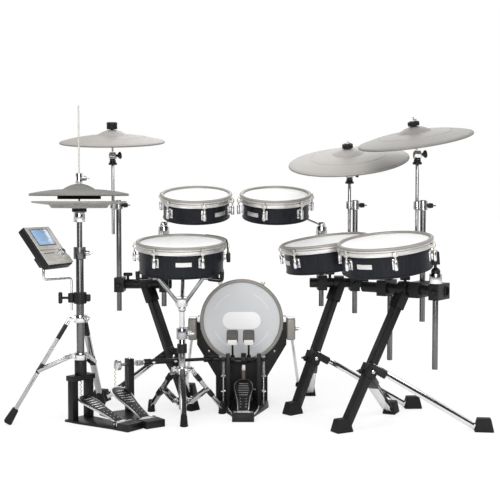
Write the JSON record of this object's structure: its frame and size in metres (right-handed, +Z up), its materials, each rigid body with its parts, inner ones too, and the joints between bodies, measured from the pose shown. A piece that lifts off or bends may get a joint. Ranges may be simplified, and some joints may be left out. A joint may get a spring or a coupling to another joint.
{
  "type": "electronic drum kit",
  "caption": "Electronic drum kit: shallow mesh-head drums, pad cymbals, a hi-hat, a twin-beater kick pedal, a tilted sound module and folding black stands.",
  "frame": {"origin": "on the floor, below the centre of the kick drum's struck face", "axes": "+X to the player's right along the kit, +Y away from the player, +Z up"},
  "size_m": [1.7182, 1.0433, 1.138],
  "materials": {
    "shell_black": "satin black stain with a faint vertical grain",
    "hoop_taupe": "matte taupe roll over a bright lower band",
    "mesh_white": "white woven mesh",
    "kick_fabric": "pale grey cloth",
    "frame_black": "satin black powder coat",
    "spur_taupe": "satin taupe",
    "chrome": "polished",
    "steel": "bright spring wire",
    "pad_grey": "matte warm grey pad",
    "clamp_black": "moulded, fine texture",
    "rubber_black": "matte",
    "module_black": "fine texture",
    "module_silver": "satin taupe silver"
  },
  "bodies": {
    "kit": {"kick_shell": "shell_black", "kick_head": "kick_fabric", "kick_fittings": "hoop_taupe", "kick_stand": "frame_black", "kick_spurs": "spur_taupe", "slave_base": "frame_black", "pedal_base": "frame_black", "pedal_springs": "steel", "hihat_base": "frame_black", "hihat_bottom_cymbal": "pad_grey", "stand_tubes": "chrome", "rack_frames": "frame_black", "rack_struts": "chrome", "rack_posts": "frame_black", "rack_clamps": "clamp_black", "rack_feet": "rubber_black"},
    "pedal_board": {"pedal_footboard": "frame_black"},
    "right_beater": {"pedal_beater_right": "frame_black"},
    "left_beater": {"pedal_beater_left": "frame_black"},
    "slave_board": {"slave_footboard": "frame_black"},
    "slave_drive": {"slave_drive": "chrome"},
    "linkage": {"pedal_linkage": "frame_black"},
    "hihat_board": {"hihat_footboard": "frame_black"},
    "hihat_rod": {"hihat_pull_rod": "chrome", "hihat_top_cymbal": "pad_grey"},
    "crash_left": {"crash_left": "pad_grey"},
    "crash_right": {"crash_right": "pad_grey"},
    "ride": {"ride": "pad_grey"},
    "snare": {"snare_shell": "shell_black", "snare_head": "mesh_white", "snare_fittings": "hoop_taupe", "snare_basket": "chrome"},
    "module": {"module_case": "module_black", "module_panel": "module_silver", "module_rod": "chrome"},
    "module_knob": {"module_knob": "chrome"},
    "tom_1": {"tom_1_shell": "shell_black", "tom_1_head": "mesh_white", "tom_1_fittings": "hoop_taupe"},
    "tom_2": {"tom_2_shell": "shell_black", "tom_2_head": "mesh_white", "tom_2_fittings": "hoop_taupe"},
    "floor_tom_1": {"floor_tom_1_shell": "shell_black", "floor_tom_1_head": "mesh_white", "floor_tom_1_fittings": "hoop_taupe"},
    "floor_tom_2": {"floor_tom_2_shell": "shell_black", "floor_tom_2_head": "mesh_white", "floor_tom_2_fittings": "hoop_taupe"},
    "snare_hub": {"snare_leg_hub": "chrome"},
    "snare_leg_1": {"snare_leg_1": "chrome"},
    "snare_brace_1": {"snare_brace_1": "chrome"},
    "snare_leg_2": {"snare_leg_2": "chrome"},
    "snare_brace_2": {"snare_brace_2": "chrome"},
    "snare_leg_3": {"snare_leg_3": "chrome"},
    "snare_brace_3": {"snare_brace_3": "chrome"},
    "hihat_hub": {"hihat_leg_hub": "chrome"},
    "hihat_leg_1": {"hihat_leg_1": "chrome"},
    "hihat_brace_1": {"hihat_brace_1": "chrome"},
    "hihat_leg_2": {"hihat_leg_2": "chrome"},
    "hihat_brace_2": {"hihat_brace_2": "chrome"}
  },
  "joints": [
    {"name": "pedal_press", "type": "hinge", "parent": "kit", "child": "pedal_board", "pos_m": [0.008, -0.293, 0.02], "axis": [-1, 0, 0], "range_deg": [0, 12], "stiffness_Nm_per_rad": 12, "springref_deg": -14.32, "deforming": ["pedal_springs"]},
    {"name": "right_beater_swing", "type": "hinge", "parent": "kit", "child": "right_beater", "pos_m": [0.008, -0.085, 0.186], "axis": [-1, 0, 0], "range_deg": [0, 65]},
    {"name": "second_pedal_press", "type": "hinge", "parent": "kit", "child": "slave_board", "pos_m": [-0.33738, -0.3978, 0.02], "axis": [-0.809, -0.5878, 0], "range_deg": [0, 12], "stiffness_Nm_per_rad": 12, "springref_deg": -14.32, "deforming": ["pedal_springs"]},
    {"name": "second_axle_turn", "type": "hinge", "parent": "kit", "child": "slave_drive", "pos_m": [-0.45964, -0.22952, 0.186], "axis": [-0.809, -0.5878, 0], "range_deg": [0, 65]},
    {"name": "linkage_turn", "type": "hinge", "parent": "kit", "child": "linkage", "pos_m": [-0.36903, -0.16369, 0.186], "axis": [-0.9535, -0.3013, 0], "range_deg": [0, 65]},
    {"name": "left_beater_swing", "type": "hinge", "parent": "kit", "child": "left_beater", "pos_m": [0.008, -0.085, 0.186], "axis": [-1, 0, 0], "range_deg": [0, 65]},
    {"name": "hihat_press", "type": "hinge", "parent": "kit", "child": "hihat_board", "pos_m": [-0.41888, -0.45217, 0.02], "axis": [-0.6018, -0.7986, 0], "range_deg": [0, 5], "stiffness_Nm_per_rad": 60, "springref_deg": -6.88},
    {"name": "hihat_rod_slide", "type": "slide", "parent": "kit", "child": "hihat_rod", "axis": [0, 0, -1], "range_m": [0, 0.015]},
    {"name": "crash_left_sway", "type": "hinge", "parent": "kit", "child": "crash_left", "pos_m": [-0.502, -0.03299, 1.07004], "axis": [1, 0, 0], "range_deg": [-8, 8], "stiffness_Nm_per_rad": 3},
    {"name": "crash_right_sway", "type": "hinge", "parent": "kit", "child": "crash_right", "pos_m": [0.61047, -0.38902, 1.05727], "axis": [1, 0, 0], "range_deg": [-8, 8], "stiffness_Nm_per_rad": 3},
    {"name": "ride_sway", "type": "hinge", "parent": "kit", "child": "ride", "pos_m": [0.40302, -0.12988, 0.99265], "axis": [1, 0, 0], "range_deg": [-8, 8], "stiffness_Nm_per_rad": 3},
    {"name": "tom_1_tilt", "type": "hinge", "parent": "kit", "child": "tom_1", "pos_m": [-0.304, -0.019, 0.702], "axis": [1, 0, 0], "range_deg": [-6, 6]},
    {"name": "tom_2_tilt", "type": "hinge", "parent": "kit", "child": "tom_2", "pos_m": [0.313, -0.016, 0.702], "axis": [1, 0, 0], "range_deg": [-6, 6]},
    {"name": "floor_tom_1_tilt", "type": "hinge", "parent": "kit", "child": "floor_tom_1", "pos_m": [0.54334, -0.29922, 0.556], "axis": [1, 0, 0], "range_deg": [-1, 3]},
    {"name": "floor_tom_2_tilt", "type": "hinge", "parent": "kit", "child": "floor_tom_2", "pos_m": [0.67078, -0.50357, 0.55341], "axis": [1, 0, 0], "range_deg": [-1.5, 4]},
    {"name": "snare_height", "type": "slide", "parent": "kit", "child": "snare", "axis": [0, 0, 1], "range_m": [-0.06, 0.02]},
    {"name": "module_swivel", "type": "hinge", "parent": "kit", "child": "module", "pos_m": [-0.612, -0.33, 0.447], "axis": [0, 0, 1], "range_deg": [-15, 15]},
    {"name": "module_knob_turn", "type": "hinge", "parent": "module", "child": "module_knob", "pos_m": [-0.63536, -0.39519, 0.61521], "axis": [0.7306, -0.2952, 0.6157], "continuous": true},
    {"name": "snare_hub_slide", "type": "slide", "parent": "kit", "child": "snare_hub", "axis": [0, 0, 1], "range_m": [0, 0.03]},
    {"name": "snare_leg_1_turn", "type": "hinge", "parent": "snare_hub", "child": "snare_leg_1", "pos_m": [-0.21319, -0.31052, 0.174], "axis": [0.9945, 0.1045, 0], "range_deg": [0, 12.59]},
    {"name": "snare_brace_1_turn", "type": "hinge", "parent": "kit", "child": "snare_brace_1", "pos_m": [-0.21319, -0.31052, 0.058], "axis": [0.9945, 0.1045, 0], "range_deg": [-20.77, 0]},
    {"name": "snare_leg_2_turn", "type": "hinge", "parent": "snare_hub", "child": "snare_leg_2", "pos_m": [-0.18316, -0.26054, 0.174], "axis": [-0.3746, 0.9272, 0], "range_deg": [0, 12.59]},
    {"name": "snare_brace_2_turn", "type": "hinge", "parent": "kit", "child": "snare_brace_2", "pos_m": [-0.18316, -0.26054, 0.058], "axis": [-0.3746, 0.9272, 0], "range_deg": [-20.77, 0]},
    {"name": "snare_leg_3_turn", "type": "hinge", "parent": "snare_hub", "child": "snare_leg_3", "pos_m": [-0.24576, -0.25174, 0.174], "axis": [-0.6157, -0.788, 0], "range_deg": [0, 12.59]},
    {"name": "snare_brace_3_turn", "type": "hinge", "parent": "kit", "child": "snare_brace_3", "pos_m": [-0.24576, -0.25174, 0.058], "axis": [-0.6157, -0.788, 0], "range_deg": [-20.77, 0]},
    {"name": "hihat_hub_slide", "type": "slide", "parent": "kit", "child": "hihat_hub", "axis": [0, 0, 1], "range_m": [0, 0.02]},
    {"name": "hihat_leg_1_turn", "type": "hinge", "parent": "hihat_hub", "child": "hihat_leg_1", "pos_m": [-0.61753, -0.34047, 0.372], "axis": [0.2756, -0.9613, 0], "range_deg": [-2.36, 0]},
    {"name": "hihat_brace_1_turn", "type": "hinge", "parent": "kit", "child": "hihat_brace_1", "pos_m": [-0.61753, -0.34047, 0.236], "axis": [0.2756, -0.9613, 0], "range_deg": [-12.29, 0]},
    {"name": "hihat_leg_2_turn", "type": "hinge", "parent": "hihat_hub", "child": "hihat_leg_2", "pos_m": [-0.57571, -0.29237, 0.372], "axis": [-0.9903, 0.1392, 0], "range_deg": [-2.36, 0]},
    {"name": "hihat_brace_2_turn", "type": "hinge", "parent": "kit", "child": "hihat_brace_2", "pos_m": [-0.57571, -0.29237, 0.236], "axis": [-0.9903, 0.1392, 0], "range_deg": [-12.29, 0]}
  ],
  "couplings": [
    {"joint": "right_beater_swing", "follows": "pedal_press", "ratio": 5.4167},
    {"joint": "second_axle_turn", "follows": "second_pedal_press", "ratio": 5.4167},
    {"joint": "linkage_turn", "follows": "second_pedal_press", "ratio": 5.4167},
    {"joint": "left_beater_swing", "follows": "second_pedal_press", "ratio": 5.4167},
    {"joint": "hihat_rod_slide", "follows": "hihat_press", "m_per_rad": 0.17189},
    {"joint": "snare_leg_1_turn", "follows": "snare_hub_slide", "rad_per_m": 7.2927},
    {"joint": "snare_brace_1_turn", "follows": "snare_hub_slide", "rad_per_m": -12.052},
    {"joint": "snare_leg_2_turn", "follows": "snare_hub_slide", "rad_per_m": 7.2927},
    {"joint": "snare_brace_2_turn", "follows": "snare_hub_slide", "rad_per_m": -12.052},
    {"joint": "snare_leg_3_turn", "follows": "snare_hub_slide", "rad_per_m": 7.2927},
    {"joint": "snare_brace_3_turn", "follows": "snare_hub_slide", "rad_per_m": -12.052},
    {"joint": "hihat_leg_1_turn", "follows": "hihat_hub_slide", "rad_per_m": -2.0195},
    {"joint": "hihat_brace_1_turn", "follows": "hihat_hub_slide", "rad_per_m": -10.681},
    {"joint": "hihat_leg_2_turn", "follows": "hihat_hub_slide", "rad_per_m": -2.0195},
    {"joint": "hihat_brace_2_turn", "follows": "hihat_hub_slide", "rad_per_m": -10.681}
  ]
}
